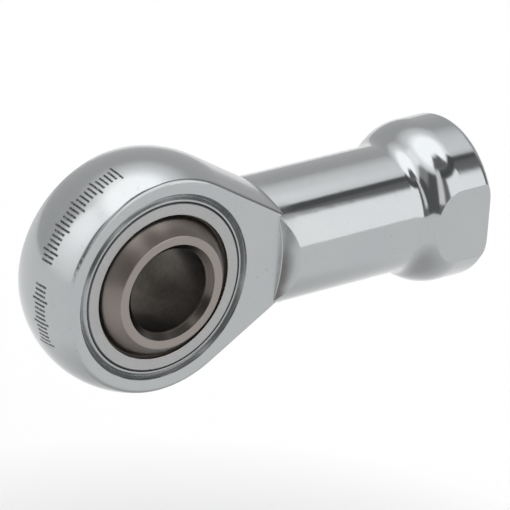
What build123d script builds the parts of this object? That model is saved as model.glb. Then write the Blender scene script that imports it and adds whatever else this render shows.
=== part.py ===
from build123d import *
import math
import os

# Female rod end with a spherical plain bearing. Millimetres.
# Origin: the centre of the ball. +Y: the bore's axis. +X: along the shank, towards the threaded
# end. +Z: up. Every piece is symmetric about the XY and XZ planes.

# ---- inner ring (ball) ----
BORE_RADIUS = 5.0
BALL_RADIUS = 9.525
RING_WIDTH = 13.5                 # between the inner ring's two end faces
BORE_CHAMFER = 0.75
RING_EDGE_BREAK = 0.15            # radius left where the sphere meets an end face

# ---- liner and outer race ----
LINER_CLEARANCE = 0.03            # running clearance between the ball and the liner
LINER_THICKNESS = 0.45
LINER_WIDTH = 9.2
RACE_WIDTH = 10.3
RACE_MOUTH_RADIUS = 8.5           # open edge of the race at its end face
RACE_MOUTH_CHAMFER = 0.15
RACE_RADIUS = 10.6                # outside of the race, pressed into the head
RACE_FACE_RADIUS = 10.0           # outer edge of the race's flat end face

# ---- head ----
HEAD_WIDTH = 10.5                 # between the two flat faces
HEAD_RADIUS = 14.0                # at the crown of the rim, in the middle of its width
HEAD_FACE_RADIUS = 12.7           # where the crowned rim meets a flat face
HEAD_SHIFT = 0.25                 # the rim's centre lies this much nearer to the shank
HEAD_EDGE_ROUND = 0.6             # between the crowned rim and a flat face

# ---- staking: a groove rolled into each flat face pushes a lip over the race's bevel ----
LIP_GAP = 0.13                    # joint left open between the race's face and the lip
LIP_CREST_RADIUS = 10.38
LIP_CREST_DEPTH = 0.14            # below the flat face
GROOVE_RADIUS = 10.72
GROOVE_DEPTH = 0.46
GROOVE_OUTER_RADIUS = 11.07

# ---- neck: two crowned walls, tangent to the head, that close in on the shank ----
NECK_HALF_ANGLE = 31.0
NECK_END_RADIUS = 16.7            # the walls end at this radius about the bore
FACE_CUT_RADIUS = 16.05           # the flat faces are turned to this radius about the bore
FACE_CUT_FLARE = 1.1              # growth of that radius up the step to the shank's surface

# ---- shank and collar ----
SHANK_RADIUS = 7.5
SHANK_START_X = 11.4              # the round bar starts here, inside the head
COLLAR_RADIUS = 9.65
COLLAR_CROWN_X = 39.1             # from here to the end the collar is cylindrical
COLLAR_SHOULDER_RADIUS = 5.5      # convex round of the collar's shoulder
COLLAR_FILLET_RADIUS = 2.5        # concave round between the shank and the shoulder
END_X = 43.3                      # the threaded end's face
END_ROUND = 0.9
ACROSS_FLATS = 17.0

# ---- threaded socket, M10 x 1.5: its wall stands at the thread's major radius ----
SOCKET_RADIUS = 5.0
SOCKET_LENGTH = 20.0
DRILL_RADIUS = 4.25
DRILL_END_DEPTH = 23.0            # the tapping hole runs on past the last thread
DRILL_HALF_ANGLE = 59.0           # half of the drill's point angle
MOUTH_CHAMFER = 0.75

WEDGE_COUNT = 6                   # the walls of the bore and the socket are cut in wedges
MARGIN = 5.0                      # how far a cutter runs past what it cuts
WALL_REACH = 42.0                 # length and depth of a neck wall before it is trimmed


def turned_about_y(outline):
    """A ring or disc from its closed (radius, y) outline."""
    return revolve(make_face(outline), axis=Axis.Y)


def closed(points):
    """A closed outline of straight lines through (radius, y) points."""
    return Polyline(*points, close=True)


def mirrored_about_xz(shape):
    """The shape and its copy on the other side of the XZ plane."""
    return shape, mirror(shape, about=Plane.XZ)


def wedge_cutters(radius, start, end, axis):
    """A round cutter along Y or X, from start to end, split into wedges about its own axis."""
    plane = Plane(origin=axis.direction * start, z_dir=axis.direction)
    sector = 360 / WEDGE_COUNT
    reach = radius / math.cos(math.radians(sector / 2))
    wedges = []
    for number in range(WEDGE_COUNT):
        angle = math.radians(number * sector)
        first = (reach * math.cos(angle), reach * math.sin(angle))
        other = angle + math.radians(sector)
        second = (reach * math.cos(other), reach * math.sin(other))
        triangle = make_face(closed([(0, 0), first, second]))
        wedges.append(plane * (extrude(triangle, end - start) & Cylinder(
            radius, end - start, align=(Align.CENTER, Align.CENTER, Align.MIN))))
    return wedges


def inner_ring():
    half = RING_WIDTH / 2
    blank = turned_about_y(closed([
        (0, -half), (BALL_RADIUS + MARGIN, -half), (BALL_RADIUS + MARGIN, half), (0, half)]))
    ball = Sphere(BALL_RADIUS) & blank
    rims = ball.edges().filter_by(GeomType.CIRCLE).filter_by_position(Axis.Y, -half, -half)
    rims += ball.edges().filter_by(GeomType.CIRCLE).filter_by_position(Axis.Y, half, half)
    ball = fillet(rims, RING_EDGE_BREAK)
    for wedge in wedge_cutters(BORE_RADIUS, -half - MARGIN, half + MARGIN, Axis.Y):
        ball -= wedge
    mouth = turned_about_y(closed([
        (0, half - BORE_CHAMFER), (BORE_RADIUS, half - BORE_CHAMFER),
        (BORE_RADIUS + BORE_CHAMFER, half), (0, half)]))
    for cutter in mirrored_about_xz(mouth):
        ball -= cutter
    return ball


def race_liner():
    inner = BALL_RADIUS + LINER_CLEARANCE
    half = LINER_WIDTH / 2
    band = turned_about_y(closed([(0, -half), (RACE_RADIUS, -half), (RACE_RADIUS, half), (0, half)]))
    return (Sphere(inner + LINER_THICKNESS) - Sphere(inner)) & band


def outer_race():
    half = RACE_WIDTH / 2
    bevel = RACE_RADIUS - RACE_FACE_RADIUS
    seat = BALL_RADIUS + LINER_CLEARANCE + LINER_THICKNESS
    ring = turned_about_y(closed([
        (0, -half), (RACE_FACE_RADIUS, -half), (RACE_RADIUS, bevel - half),
        (RACE_RADIUS, half - bevel), (RACE_FACE_RADIUS, half), (0, half)]))
    ring -= Sphere(seat)
    mouth = turned_about_y(closed([
        (0, 0), (RACE_MOUTH_RADIUS, 0), (RACE_MOUTH_RADIUS, half - RACE_MOUTH_CHAMFER),
        (RACE_MOUTH_RADIUS + RACE_MOUTH_CHAMFER, half), (0, half)]))
    for cutter in mirrored_about_xz(mouth):
        ring -= cutter
    return ring


def crown_section(inner):
    """The crowned rim's section: (distance from the head's centre, place along the bore)."""
    half = HEAD_WIDTH / 2
    lower, upper = (HEAD_FACE_RADIUS, -half), (HEAD_FACE_RADIUS, half)
    rim = ThreePointArc(lower, (HEAD_RADIUS, 0), upper)
    rest = Polyline(upper, (inner, half), (inner, -half), lower)
    section = make_face(rim + rest)
    corners = section.vertices().group_by(Axis.X)[-1]
    return fillet(corners, HEAD_EDGE_ROUND)


def neck():
    """The stretch between two walls that run on from the rim, each with the rim's section."""
    lean = math.radians(NECK_HALF_ANGLE)
    walls = []
    for side in (1, -1):
        outwards = (math.sin(lean), 0, side * math.cos(lean))
        along = (math.cos(lean), 0, -side * math.sin(lean))
        start = Plane(origin=(HEAD_SHIFT, 0, 0), x_dir=outwards, z_dir=along)
        walls.append(extrude(start * crown_section(-WALL_REACH), WALL_REACH))
    end = Cylinder(NECK_END_RADIUS, HEAD_WIDTH + MARGIN, rotation=(90, 0, 0))
    shank_side = Box(WALL_REACH, HEAD_WIDTH + MARGIN, WALL_REACH,
                     align=(Align.MIN, Align.CENTER, Align.CENTER))
    return walls[0] & walls[1] & end & shank_side


def shank_and_collar():
    shoulder_centre = (COLLAR_CROWN_X, COLLAR_RADIUS - COLLAR_SHOULDER_RADIUS)
    rise = SHANK_RADIUS + COLLAR_FILLET_RADIUS - shoulder_centre[1]
    reach = math.sqrt((COLLAR_SHOULDER_RADIUS + COLLAR_FILLET_RADIUS) ** 2 - rise ** 2)
    fillet_centre = (COLLAR_CROWN_X - reach, SHANK_RADIUS + COLLAR_FILLET_RADIUS)
    lean = math.atan2(rise, reach)
    joint = (shoulder_centre[0] - COLLAR_SHOULDER_RADIUS * math.cos(lean),
             shoulder_centre[1] + COLLAR_SHOULDER_RADIUS * math.sin(lean))
    fillet_start = (fillet_centre[0], SHANK_RADIUS)
    crown = (COLLAR_CROWN_X, COLLAR_RADIUS)
    round_start = (END_X - END_ROUND, COLLAR_RADIUS)
    round_end = (END_X, COLLAR_RADIUS - END_ROUND)
    outline = [
        Polyline((SHANK_START_X, 0), (SHANK_START_X, SHANK_RADIUS), fillet_start),
        RadiusArc(fillet_start, joint, -COLLAR_FILLET_RADIUS),
        RadiusArc(joint, crown, COLLAR_SHOULDER_RADIUS),
        Line(crown, round_start),
        RadiusArc(round_start, round_end, END_ROUND),
        Polyline(round_end, (END_X, 0), (SHANK_START_X, 0)),
    ]
    bar = revolve(make_face(outline), axis=Axis.X)
    flats = Box(END_X, ACROSS_FLATS, 2 * COLLAR_RADIUS,
                align=(Align.MIN, Align.CENTER, Align.CENTER))
    return bar & flats


def face_cutter():
    """Turns one flat face level, out to a flared step on the shank."""
    half = HEAD_WIDTH / 2
    step = FACE_CUT_FLARE / (SHANK_RADIUS - half)
    top = SHANK_RADIUS + MARGIN
    return turned_about_y(closed([
        (0, half), (FACE_CUT_RADIUS, half), (FACE_CUT_RADIUS + step * (top - half), top),
        (0, top)]))


def race_seat_cutter():
    """The bore of the head, to fit the race's outside, bevels and the open joint at each face."""
    half = HEAD_WIDTH / 2
    race_half = RACE_WIDTH / 2
    bevel = RACE_RADIUS - RACE_FACE_RADIUS
    lip = RACE_FACE_RADIUS + LIP_GAP
    return turned_about_y(closed([
        (0, -half), (lip, -half), (lip, LIP_GAP - race_half), (RACE_RADIUS, bevel - race_half),
        (RACE_RADIUS, race_half - bevel), (lip, race_half - LIP_GAP), (lip, half), (0, half)]))


def staking_cutter():
    """The rolled groove in one flat face, and the crest of the lip inside it."""
    half = HEAD_WIDTH / 2
    return turned_about_y(closed([
        (RACE_FACE_RADIUS, half), (RACE_FACE_RADIUS, half - LIP_CREST_DEPTH),
        (LIP_CREST_RADIUS, half - LIP_CREST_DEPTH), (GROOVE_RADIUS, half - GROOVE_DEPTH),
        (GROOVE_OUTER_RADIUS, half)]))


def drill_cutter():
    """The tapping hole past the threads, with the drill's point."""
    start = END_X - SOCKET_LENGTH
    end = END_X - DRILL_END_DEPTH
    point = end - DRILL_RADIUS / math.tan(math.radians(DRILL_HALF_ANGLE))
    return revolve(make_face(closed([
        (start, 0), (start, DRILL_RADIUS), (end, DRILL_RADIUS), (point, 0)])), axis=Axis.X)


def mouth_cutter():
    return revolve(make_face(closed([
        (END_X, 0), (END_X, SOCKET_RADIUS + MOUTH_CHAMFER), (END_X - MOUTH_CHAMFER, SOCKET_RADIUS),
        (END_X - MOUTH_CHAMFER, 0)])), axis=Axis.X)


def rod_end_body():
    rim = Pos(HEAD_SHIFT, 0, 0) * revolve(crown_section(0), axis=Axis.Y)
    body = rim + neck() + shank_and_collar()
    for cutter in (*mirrored_about_xz(face_cutter()), *mirrored_about_xz(staking_cutter())):
        body -= cutter
    body -= race_seat_cutter()
    for wedge in wedge_cutters(SOCKET_RADIUS, END_X - SOCKET_LENGTH, END_X + MARGIN, Axis.X):
        body -= wedge
    body -= drill_cutter()
    body -= mouth_cutter()
    return body


PIECES = {
    "rod_end_body": rod_end_body,
    "outer_race": outer_race,
    "race_liner": race_liner,
    "inner_ring": inner_ring,
}

os.makedirs("parts", exist_ok=True)
for name, build in PIECES.items():
    piece = build()
    print(name, "volume", round(piece.volume, 1), "solids", len(piece.solids()))
    export_step(piece, f"parts/{name}.step")
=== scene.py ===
import bpy
import math
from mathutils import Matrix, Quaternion, Vector


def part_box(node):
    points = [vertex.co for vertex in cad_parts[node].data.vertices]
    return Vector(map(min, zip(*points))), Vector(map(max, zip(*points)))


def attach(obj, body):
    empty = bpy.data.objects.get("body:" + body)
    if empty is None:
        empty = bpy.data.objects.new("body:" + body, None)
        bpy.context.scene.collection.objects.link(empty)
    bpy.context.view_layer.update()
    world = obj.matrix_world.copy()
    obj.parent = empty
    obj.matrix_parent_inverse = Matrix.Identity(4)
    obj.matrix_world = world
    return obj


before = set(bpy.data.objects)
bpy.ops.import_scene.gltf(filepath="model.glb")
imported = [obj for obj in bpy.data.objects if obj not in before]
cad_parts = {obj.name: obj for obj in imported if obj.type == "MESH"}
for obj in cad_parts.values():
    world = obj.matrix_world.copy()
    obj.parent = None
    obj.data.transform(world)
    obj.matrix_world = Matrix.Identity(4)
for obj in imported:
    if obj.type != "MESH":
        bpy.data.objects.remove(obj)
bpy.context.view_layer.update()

# Female rod end with a spherical plain bearing: the finishes of its four nodes, the ridge of the
# socket's thread, the light and the camera. The frame's +Y is the bore's axis, and +X runs along
# the shank towards the threaded end.

MM = 0.001

# ---- camera: azimuth and elevation in degrees about the frame's +Z, lengths in metres ----
VIEW_AZIMUTH = -37.17
VIEW_ELEVATION = 25.29
VIEW_ROLL = 3.57
VIEW_DISTANCE = 0.424
VIEW_AIM = Vector((0.01106, -0.00675, 0.00209))
LENS = 269.0                # millimetres, as is the sensor's width
SENSOR_WIDTH = 36.0
CLIP_RANGE = (0.01, 20.0)

# ---- floor, in metres ----
FLOOR_HEIGHT = -0.060
FLOOR_SHADE_RADIUS = 0.045
FLOOR_SIZE = 8.0

# ---- the object's sizes that the finishes and the thread follow, in millimetres ----
body_corner, race_corner, ball_corner = (
    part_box(node)[1] / MM for node in ("rod_end_body", "outer_race", "inner_ring"))
END_X = body_corner.x               # the threaded end's face
HALF_ACROSS_FLATS = body_corner.y
RACE_FACE_DEPTH = race_corner.y     # depths are distances from the XZ plane
EYE_FACE_DEPTH = RACE_FACE_DEPTH + 0.1
BALL_FACE_DEPTH = ball_corner.y
BORE_RADIUS = 5.0
BORE_MOUTH_RADIUS = 5.72            # the outer edge of the bore's chamfer
RACE_EDGE_RADIUS = 10.0
GROOVE_RADII = (10.45, 11.0)
RIM_RADIUS = 13.0                   # the eye's crowned rim lies beyond it, its flat faces within
SHANK_FROM_X = 17.0
GROOVE_FLOOR = 0.85                 # below the eye's flat face, past the bottom of the groove

# ---- the etched scale on the eye's rim, in millimetres but for the degrees ----
SCALE_CENTRE_Y = -1.1
SCALE_PITCH = 2.4           # degrees round the eye
SCALE_RANGES = ((17.5, 73.0), (-26.0, 8.5))
SCALE_BAR = 1.7             # length of a short bar
SCALE_LONG_BAR = 2.5        # length of every fifth bar
SCALE_BAR_SHARE = 0.23      # half of a bar's width, in pitches

# ---- the socket's thread, in millimetres ----
THREAD_PITCH = 1.5
THREAD_ROOT_RADIUS = 5.04
THREAD_CREST_RADIUS = 4.19
THREAD_ROOT_WIDTH = 1.34
THREAD_CREST_WIDTH = 0.375
THREAD_DEPTH = 19.4         # from the threaded end to the middle of the first turn
THREAD_FROM_X = END_X - THREAD_DEPTH
THREAD_TURNS = 12
THREAD_STEPS = 72
THREAD_RUN_OUT = (80, 60, 40, 20)    # degrees from the ridge's end, each a little lower
THREAD_SMOOTH_ANGLE = math.radians(35)

# ---- shading ----
BEVEL_SAMPLES = 6
EDGE_GAIN = 6.0             # how fast wear grows where a surface starts to turn


def rgb(red, green, blue):
    return red, green, blue, 1.0


class Wire:
    """A shader socket that takes part in Python arithmetic: each sum adds one Math node."""

    def __init__(self, graph, socket):
        self.graph = graph
        self.socket = socket

    def math(self, operation, *others):
        values = dict(enumerate((self, *others)))
        return self.graph.node("ShaderNodeMath", {"operation": operation}, values)

    def __add__(self, other):
        return self.math("ADD", other)

    def __mul__(self, other):
        return self.math("MULTIPLY", other)

    def __sub__(self, other):
        return self.math("SUBTRACT", other)

    def __truediv__(self, other):
        return self.math("DIVIDE", other)

    def __rsub__(self, other):
        return (self * -1.0) + other

    __radd__ = __add__
    __rmul__ = __mul__

    def clamp(self):
        return self.math("MAXIMUM", 0.0).math("MINIMUM", 1.0)

    def step(self, edge, width):
        """0 below the edge, 1 above it, over a ramp of that width."""
        return ((self - edge) * (1.0 / width) + 0.5).clamp()

    def band(self, low, high, width):
        """1 between low and high, 0 outside."""
        return self.step(low, width) * (1.0 - self.step(high, width))


class Graph:
    """A node tree: Python expressions on its wires add its nodes."""

    def __init__(self, tree):
        self.tree = tree
        self.tree.nodes.clear()
        self.place = self.node("ShaderNodeTexCoord", output=self.COORDINATES)
        self.x, self.y, self.z = (self.component(self.place, axis) for axis in "XYZ")

    def component(self, vector, axis):
        return self.node("ShaderNodeSeparateXYZ", inputs={"Vector": vector}, output=axis)

    def node(self, kind, settings=None, inputs=None, output=0):
        """Adds one node: its settings first, then its sockets' values or wires."""
        made = self.tree.nodes.new(kind)
        for key, value in (settings or {}).items():
            setattr(made, key, value)
        for key, value in (inputs or {}).items():
            if isinstance(value, Wire):
                self.tree.links.new(value.socket, made.inputs[key])
            else:
                made.inputs[key].default_value = value
        return None if output is None else Wire(self, made.outputs[output])

    def blend(self, share, first, second):
        """The first colour where share is 0, the second where it is 1."""
        settings = {"data_type": "RGBA"}
        return self.node("ShaderNodeMix", settings, {0: share, 6: first, 7: second}, output=2)


class Finish(Graph):
    """One material. Lengths in its patterns are metres in the frame."""

    COORDINATES = "Object"

    def __init__(self, name):
        self.material = bpy.data.materials.new(name)
        self.material.use_nodes = True
        super().__init__(self.material.node_tree)

    def noise(self, scale, detail=2.0, roughness=0.5, stretch=(1.0, 1.0, 1.0)):
        """Soft noise from 0 to 1, with that many blotches to the metre."""
        place = self.node("ShaderNodeMapping", inputs={"Vector": self.place, "Scale": stretch})
        inputs = {"Vector": place, "Scale": scale, "Detail": detail, "Roughness": roughness}
        return self.node("ShaderNodeTexNoise", inputs=inputs)

    def lines(self, across, per_metre, detail=3.0):
        """Fine uneven lines from 0 to 1, side by side along that length."""
        inputs = {"W": across, "Scale": per_metre, "Detail": detail, "Roughness": 0.6}
        return self.node("ShaderNodeTexNoise", {"noise_dimensions": "1D"}, inputs)

    def radius_about_y(self):
        return (self.x * self.x + self.z * self.z).math("SQRT")

    def depth_from_middle(self):
        return self.y.math("ABSOLUTE")

    def rounded_normal(self, width):
        return self.node("ShaderNodeBevel", {"samples": BEVEL_SAMPLES}, {"Radius": width})

    def edges(self, width):
        """0 on open surfaces, towards 1 within that width of an edge."""
        rounded = self.rounded_normal(width)
        flat = self.node("ShaderNodeNewGeometry", output="Normal")
        same = self.node("ShaderNodeVectorMath", {"operation": "DOT_PRODUCT"},
                         {0: rounded, 1: flat}, output="Value")
        return ((1.0 - same) * EDGE_GAIN).clamp()

    def close(self, colour, roughness, metallic, height=None, depth=MM, edge=None):
        """The closing shader: a bump of that depth where height goes from 0 to 1, over edges
        rounded by that width."""
        inputs = {"Base Color": colour, "Roughness": roughness, "Metallic": metallic}
        if height is not None:
            bump = {"Height": height, "Distance": depth}
            if edge is not None:
                bump["Normal"] = self.rounded_normal(edge)
            inputs["Normal"] = self.node("ShaderNodeBump", inputs=bump)
        shader = self.node("ShaderNodeBsdfPrincipled", inputs=inputs)
        self.node("ShaderNodeOutputMaterial", inputs={"Surface": shader}, output=None)
        return self.material


class Room(Graph):
    """The light that surrounds the object, by its direction: degrees round from -Y towards +X,
    and degrees above the horizon."""

    COORDINATES = "Generated"

    def __init__(self, fill):
        world = bpy.data.worlds.new("room")
        world.use_nodes = True
        bpy.context.scene.world = world
        super().__init__(world.node_tree)
        self.around = self.x.math("ARCTAN2", self.y * -1.0) * math.degrees(1.0)
        self.above = self.z.math("ARCSINE") * math.degrees(1.0)
        self.light = fill

    def panel(self, around, above, strength, soft=6.0):
        """A patch of that strength over a range of directions, with soft edges."""
        mask = self.around.band(*around, soft) * self.above.band(*above, soft)
        self.light = self.light * (1.0 - mask) + mask * strength

    def close(self):
        shader = self.node("ShaderNodeBackground", inputs={"Strength": self.light})
        self.node("ShaderNodeOutputWorld", inputs={"Surface": shader}, output=None)


def etched_scale(g):
    """A row of plain etched bars round the eye, every fifth one longer: 1 on a bar, 0 elsewhere."""
    turn = g.z.math("ARCTAN2", g.x * -1.0) * math.degrees(1.0)
    number = turn / SCALE_PITCH
    nearest = number.math("ROUND")
    across = (number - nearest).math("ABSOLUTE")
    fives = nearest / 5.0
    long_one = 1.0 - (fives - fives.math("ROUND")).math("ABSOLUTE").step(0.1, 0.02)
    half_length = (SCALE_BAR + long_one * (SCALE_LONG_BAR - SCALE_BAR)) * (0.5 * MM)
    along = (g.y - SCALE_CENTRE_Y * MM).math("ABSOLUTE") - half_length
    bar = (1.0 - across.step(SCALE_BAR_SHARE, 0.12)) * (1.0 - along.step(0.0, 0.12 * MM))
    first, second = (turn.band(low, high, 0.3) for low, high in SCALE_RANGES)
    return bar * (first + second) * g.radius_about_y().step(RIM_RADIUS * MM, 0.2 * MM)


def zinc_plated_steel():
    """Bright zinc plate over turned and milled steel, a little grey in the staking groove and dark
    at the race's joint: dirt and painted shade.
    """
    g = Finish("zinc_plated_steel")
    radius, depth = g.radius_about_y(), g.depth_from_middle()
    shank = g.x.step(SHANK_FROM_X * MM, 1.0 * MM)
    flats = depth.step((HALF_ACROSS_FLATS - 0.05) * MM, 0.04 * MM) * shank
    within_rim = 1.0 - radius.step(RIM_RADIUS * MM, 0.3 * MM)
    eye_face = depth.step((EYE_FACE_DEPTH - 0.25) * MM, 0.2 * MM) * within_rim
    rim = (1.0 - shank) * (1.0 - eye_face)

    turned_face = g.lines(radius, 5200.0) * eye_face
    turned_shank = g.lines(g.x, 4200.0) * shank * (1.0 - flats)
    turned_rim = g.lines(g.y, 3600.0) * rim * 0.5
    milled_flats = g.lines((g.x * g.x + g.z * g.z * 0.4).math("SQRT"), 3000.0) * flats
    marks = turned_face + turned_shank * 0.7 + turned_rim + milled_flats
    ripple = g.noise(420.0, 2.0)
    grain = g.noise(5200.0, 3.0)

    groove_from, groove_to = GROOVE_RADII
    # Joint line, crest, groove and the groove's outer edge made darker: dirt and painted shade in
    # the joint and the groove, and a little on the crest to dim its highlight.
    joint_dirt_and_shade = radius.band((RACE_EDGE_RADIUS - 0.1) * MM, (RACE_EDGE_RADIUS + 0.18) * MM, 0.06 * MM)
    crest = radius.band((RACE_EDGE_RADIUS + 0.15) * MM, groove_from * MM, 0.1 * MM)
    groove = radius.band(groove_from * MM, groove_to * MM, 0.25 * MM)
    groove_edge = radius.band(groove_to * MM, (groove_to + 0.14) * MM, 0.06 * MM)
    grime_and_shade = (joint_dirt_and_shade * 0.9 + crest * 0.15 + groove * (0.3 + 0.3 * g.noise(120.0).step(0.5, 0.3))
             + groove_edge * 0.7 * g.noise(300.0).step(0.4, 0.3))
    near_face = depth.step((EYE_FACE_DEPTH - GROOVE_FLOOR) * MM, 0.3 * MM)
    grime_and_shade = grime_and_shade.clamp() * near_face * (1.0 - shank)
    etched = etched_scale(g) * g.noise(6500.0, 2.0).step(0.36, 0.2)
    pits = g.noise(2600.0, 1.0).step(0.74, 0.03)
    worn = g.edges(0.25 * MM)

    cool_zinc, warm_zinc, dull_zinc = (
        rgb(0.425, 0.445, 0.460), rgb(0.470, 0.478, 0.478), rgb(0.37, 0.39, 0.40))
    rubbed_edge, pit = rgb(0.56, 0.57, 0.57), rgb(0.20, 0.21, 0.22)
    # The dark colour for the joint and groove stands for dirt and painted shade.
    dirt_and_shade, etch = rgb(0.045, 0.048, 0.05), rgb(0.018, 0.019, 0.021)
    colour = g.blend(g.noise(130.0, 3.0), cool_zinc, warm_zinc)
    colour = g.blend(g.noise(900.0, 5.0, 0.7) * 0.35, colour, dull_zinc)
    colour = g.blend(worn * 0.25, colour, rubbed_edge)
    colour = g.blend(grime_and_shade, colour, dirt_and_shade)
    colour = g.blend(pits * 0.2, colour, pit)
    colour = g.blend(etched, colour, etch)

    rough = (0.06 + 0.05 * g.noise(700.0, 4.0) + 0.03 * marks
             + 0.11 * eye_face + 0.06 * flats + 0.14 * rim * g.noise(300.0, 3.0))
    rough = (rough + 0.25 * grime_and_shade + 0.4 * etched + 0.1 * pits).clamp()
    height = marks * 0.07 + ripple * 0.75 + grain * 0.05 - etched * 0.8 - pits * 0.15
    metallic = 1.0 - 0.8 * etched
    return g.close(colour, rough, metallic, height, 0.008 * MM, edge=0.12 * MM)


def turned_steel():
    """The outer race: plain steel with concentric turning lines on its faces, darkened at its joint
    with the housing by dirt and painted shade.
    """
    g = Finish("turned_steel")
    radius, depth = g.radius_about_y(), g.depth_from_middle()
    face = depth.step((RACE_FACE_DEPTH - 0.2) * MM, 0.1 * MM)
    turned = g.lines(radius, 6500.0, 4.0)
    # Painted shade with some dirt: the race darker beyond its joint edge with the housing.
    joint_dirt_and_shade = radius.step((RACE_EDGE_RADIUS - 0.1) * MM, 0.05 * MM)
    worn = g.edges(0.15 * MM)
    dark_steel, light_steel = rgb(0.355, 0.360, 0.358), rgb(0.425, 0.428, 0.425)
    turning_line, rubbed_edge = rgb(0.29, 0.29, 0.288), rgb(0.55, 0.55, 0.54)
    dirt_and_shade = rgb(0.04, 0.042, 0.044)
    colour = g.blend(g.noise(220.0, 3.0), dark_steel, light_steel)
    colour = g.blend(turned * face * 0.3, colour, turning_line)
    colour = g.blend(worn * 0.4, colour, rubbed_edge)
    colour = g.blend(joint_dirt_and_shade * 0.85, colour, dirt_and_shade)
    rough = 0.20 + 0.10 * g.noise(900.0, 4.0) + 0.06 * turned
    height = turned * 0.6 + g.noise(3500.0, 3.0) * 0.4
    return g.close(colour, rough, 1.0, height, 0.0015 * MM, edge=0.06 * MM)


def sliding_liner():
    """The woven sliding liner: two sets of threads that cross at right angles, in dark colours that
    also stand for the shade in the gap between ball and race: painted shade.
    """
    threads_round, thread_pitch = 140.0, 0.42 * MM
    g = Finish("sliding_liner")
    warp = (g.z.math("ARCTAN2", g.x) * threads_round).math("SINE")
    weft = (g.y * (2.0 * math.pi / thread_pitch)).math("SINE")
    weave = (warp * weft) * 0.5 + 0.5
    # The liner's own dark weave, made darker still with painted shade from the gap beside the ball.
    gap, thread, film = rgb(0.030, 0.025, 0.019), rgb(0.125, 0.102, 0.078), rgb(0.055, 0.046, 0.036)
    colour = g.blend(weave, gap, thread)
    colour = g.blend(g.noise(1800.0, 4.0) * 0.5, colour, film)
    height = weave * 0.8 + g.noise(9000.0, 3.0) * 0.2
    return g.close(colour, 0.55 + 0.25 * g.noise(4000.0, 3.0), 0.0, height, 0.03 * MM)


def ground_bearing_steel():
    """The ball: a polished dark sphere, paler ground end faces and a honed bore; the bore and its
    chamfer are darkened with painted shade.
    """
    g = Finish("ground_bearing_steel")
    radius, depth = g.radius_about_y(), g.depth_from_middle()
    end_face = depth.step((BALL_FACE_DEPTH - 0.06) * MM, 0.06 * MM)
    bore = 1.0 - radius.step((BORE_RADIUS + 0.12) * MM, 0.15 * MM)
    mouth = (1.0 - radius.step(BORE_MOUTH_RADIUS * MM, 0.06 * MM)) * (1.0 - bore)
    sphere = (1.0 - end_face) * (1.0 - bore) * (1.0 - mouth)

    arc = g.z.math("ARCTAN2", g.x) * (BORE_RADIUS * MM)
    honed = g.lines(arc * 0.5 + g.y, 3800.0) * g.lines(arc * 0.5 - g.y, 3800.0) * 2.0
    ground = g.lines(radius, 7000.0, 4.0)
    lapped = g.lines(g.y, 9000.0, 2.0)
    worn = g.edges(0.18 * MM)
    cloud = g.noise(260.0, 4.0)

    brown, light_brown, lapping_line = (
        rgb(0.205, 0.178, 0.160), rgb(0.245, 0.218, 0.200), rgb(0.15, 0.13, 0.115))
    ground_face = g.blend(ground, rgb(0.250, 0.222, 0.205), rgb(0.315, 0.285, 0.265))
    # Painted shade: the chamfer darker, stepping down towards the bore.
    chamfer = g.blend(ground, rgb(0.075, 0.065, 0.058), rgb(0.150, 0.132, 0.118))
    blotches = g.noise(330.0, 3.0, 0.5, stretch=(1.0, 0.5, 1.0)).step(0.52, 0.5)
    streaks = (honed * 0.45 + blotches * 0.7).clamp()
    # Painted shade: the bore's colour far darker than the ball's, with honing streaks on it.
    honed_and_shaded_bore = g.blend(streaks, rgb(0.022, 0.019, 0.016), rgb(0.115, 0.102, 0.090))
    rubbed_edge = rgb(0.42, 0.39, 0.36)
    colour = g.blend(cloud, brown, light_brown)
    colour = g.blend(sphere * lapped * 0.2, colour, lapping_line)
    colour = g.blend(end_face, colour, ground_face)
    colour = g.blend(mouth, colour, chamfer)
    colour = g.blend(bore, colour, honed_and_shaded_bore)
    colour = g.blend(worn * 0.3, colour, rubbed_edge)

    rough = 0.30 + 0.06 * cloud - 0.04 * end_face + 0.04 * bore - 0.08 * mouth
    height = (ground * (end_face + mouth) * 0.8 + honed * bore * 1.6
              + lapped * sphere * 0.15 + g.noise(3000.0, 3.0) * 0.2)
    return g.close(colour, rough, 1.0, height, 0.0015 * MM, edge=0.08 * MM)


def paint_nodes(finishes):
    for name, material in finishes.items():
        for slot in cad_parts[name].material_slots:
            slot.material = material


def select_vertices(piece, wanted):
    """Selects the vertices whose place passes the test, and leaves the piece in edit mode."""
    bpy.ops.object.mode_set(mode="EDIT")
    bpy.ops.mesh.select_mode(type="VERT")
    bpy.ops.mesh.select_all(action="DESELECT")
    bpy.ops.object.mode_set(mode="OBJECT")
    for vertex in piece.data.vertices:
        vertex.select = wanted(vertex.co)
    bpy.ops.object.mode_set(mode="EDIT")


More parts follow.
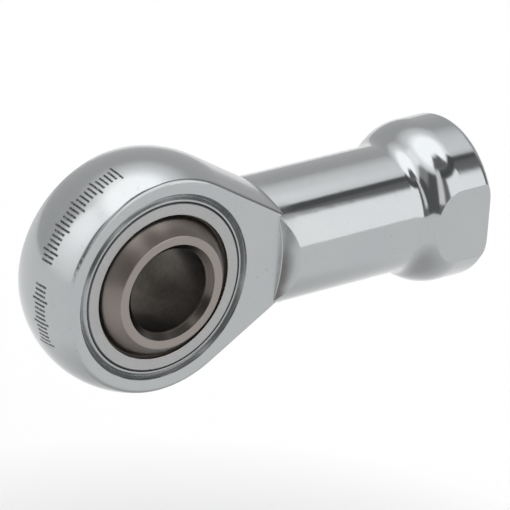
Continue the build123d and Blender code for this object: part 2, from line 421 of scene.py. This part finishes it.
def socket_thread(finish):
    """The ridge of the socket's thread: one tapered profile wound along the socket's axis."""
    crest, root = THREAD_CREST_RADIUS * MM, THREAD_ROOT_RADIUS * MM
    middle = (crest + root) / 2
    bpy.ops.object.select_all(action="DESELECT")
    bpy.ops.mesh.primitive_plane_add(size=1.0, location=(THREAD_FROM_X * MM, 0.0, middle),
                                     rotation=(math.radians(90), 0.0, 0.0))
    ridge = bpy.context.object
    ridge.name = "socket_thread"
    ridge.scale = (THREAD_ROOT_WIDTH * MM, root - crest, 1.0)
    bpy.ops.object.transform_apply(location=True, rotation=True, scale=True)

    select_vertices(ridge, lambda place: place.z < middle)
    bpy.ops.transform.resize(value=(THREAD_CREST_WIDTH / THREAD_ROOT_WIDTH, 1.0, 1.0),
                             center_override=(THREAD_FROM_X * MM, 0.0, crest))
    bpy.ops.mesh.select_all(action="SELECT")
    bpy.ops.mesh.delete(type="ONLY_FACE")
    bpy.ops.object.mode_set(mode="OBJECT")

    winding = ridge.modifiers.new("winding", "SCREW")
    winding.axis = "X"
    winding.screw_offset = THREAD_PITCH * MM
    winding.iterations = THREAD_TURNS
    winding.steps = winding.render_steps = THREAD_STEPS
    bpy.ops.object.modifier_apply(modifier="winding")

    last_turn = (THREAD_FROM_X + (THREAD_TURNS - 0.5) * THREAD_PITCH) * MM
    lower = (root / crest) ** (1 / len(THREAD_RUN_OUT))
    for span in THREAD_RUN_OUT:
        select_vertices(ridge, lambda place: place.x > last_turn
                        and math.hypot(place.y, place.z) < middle
                        and -0.1 < math.degrees(math.atan2(place.y, place.z)) < span)
        bpy.ops.transform.resize(value=(1.0, lower, lower), center_override=(0.0, 0.0, 0.0))
    bpy.ops.mesh.select_all(action="SELECT")
    bpy.ops.mesh.fill_holes(sides=4)
    bpy.ops.mesh.select_all(action="SELECT")
    bpy.ops.mesh.normals_make_consistent(inside=False)
    bpy.ops.object.mode_set(mode="OBJECT")
    bpy.ops.object.shade_smooth_by_angle(angle=THREAD_SMOOTH_ANGLE)
    ridge.data.materials.append(finish)
    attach(ridge, "housing")


def room_light():
    """A soft room: pale walls and ceiling, two windows, and a dark side behind the camera."""
    room = Room(fill=0.80)
    room.panel((-300, 300), (44, 120), 1.45, soft=14.0)          # walls pale towards the ceiling
    room.panel((-300, 300), (60, 120), 2.55, soft=14.0)          # ceiling
    daylight = 1.35 + 0.85 * room.above.step(17.0, 40.0)
    room.panel((-127, -86), (-60, 58), daylight, soft=12.0)      # left window
    room.panel((-82, 78), (-12, 50), 0.32, soft=8.0)             # dark side behind the camera
    room.panel((-1, 49), (-10, 46), 1.95, soft=4.0)              # front window
    room.panel((-58, -31), (-12, 51), 0.20, soft=4.0)            # dark door
    room.panel((-31, -16), (12, 55), 1.45, soft=5.0)             # a gap of light beside it
    room.panel((-16, 72), (47, 61), 0.16, soft=4.0)              # dark beam over the window
    room.panel((-33, 40), (58, 80), 0.28, soft=8.0)              # and what hangs over it
    room.panel((-82, -58), (-60, 50), 0.55, soft=8.0)            # grey corner
    room.close()


def floor_paper():
    """Pale matt paper, with a painted shadow under the object."""
    g = Finish("floor_paper")
    # Painted shadow: the paper darker within that radius of the point under the object.
    lit = (g.x * g.x + g.y * g.y).math("SQRT").step(FLOOR_SHADE_RADIUS, FLOOR_SHADE_RADIUS)
    shaded_paper, lit_paper = rgb(0.62, 0.62, 0.62), rgb(0.95, 0.95, 0.95)
    return g.close(g.blend(lit, shaded_paper, lit_paper), roughness=0.95, metallic=0.0)


def floor():
    bpy.ops.object.select_all(action="DESELECT")
    bpy.ops.mesh.primitive_plane_add(size=FLOOR_SIZE, location=(VIEW_AIM.x, 0.0, FLOOR_HEIGHT))
    plane = bpy.context.object
    plane.name = "floor"
    plane.data.materials.append(floor_paper())


def camera():
    azimuth, elevation = math.radians(VIEW_AZIMUTH), math.radians(VIEW_ELEVATION)
    back = Vector((math.sin(azimuth) * math.cos(elevation),
                   -math.cos(azimuth) * math.cos(elevation), math.sin(elevation)))
    data = bpy.data.cameras.new("camera")
    data.lens = LENS
    data.sensor_width = SENSOR_WIDTH
    data.clip_start, data.clip_end = CLIP_RANGE
    view = bpy.data.objects.new("camera", data)
    view.rotation_mode = "QUATERNION"
    roll = Quaternion((0, 0, 1), math.radians(VIEW_ROLL))
    view.rotation_quaternion = (-back).to_track_quat("-Z", "Y") @ roll
    view.location = VIEW_AIM + back * VIEW_DISTANCE
    bpy.context.scene.collection.objects.link(view)
    bpy.context.scene.camera = view


bpy.context.scene.view_settings.view_transform = "Standard"
camera()
room_light()
floor()
plated = zinc_plated_steel()
paint_nodes({
    "rod_end_body": plated,
    "outer_race": turned_steel(),
    "race_liner": sliding_liner(),
    "inner_ring": ground_bearing_steel(),
})
socket_thread(plated)
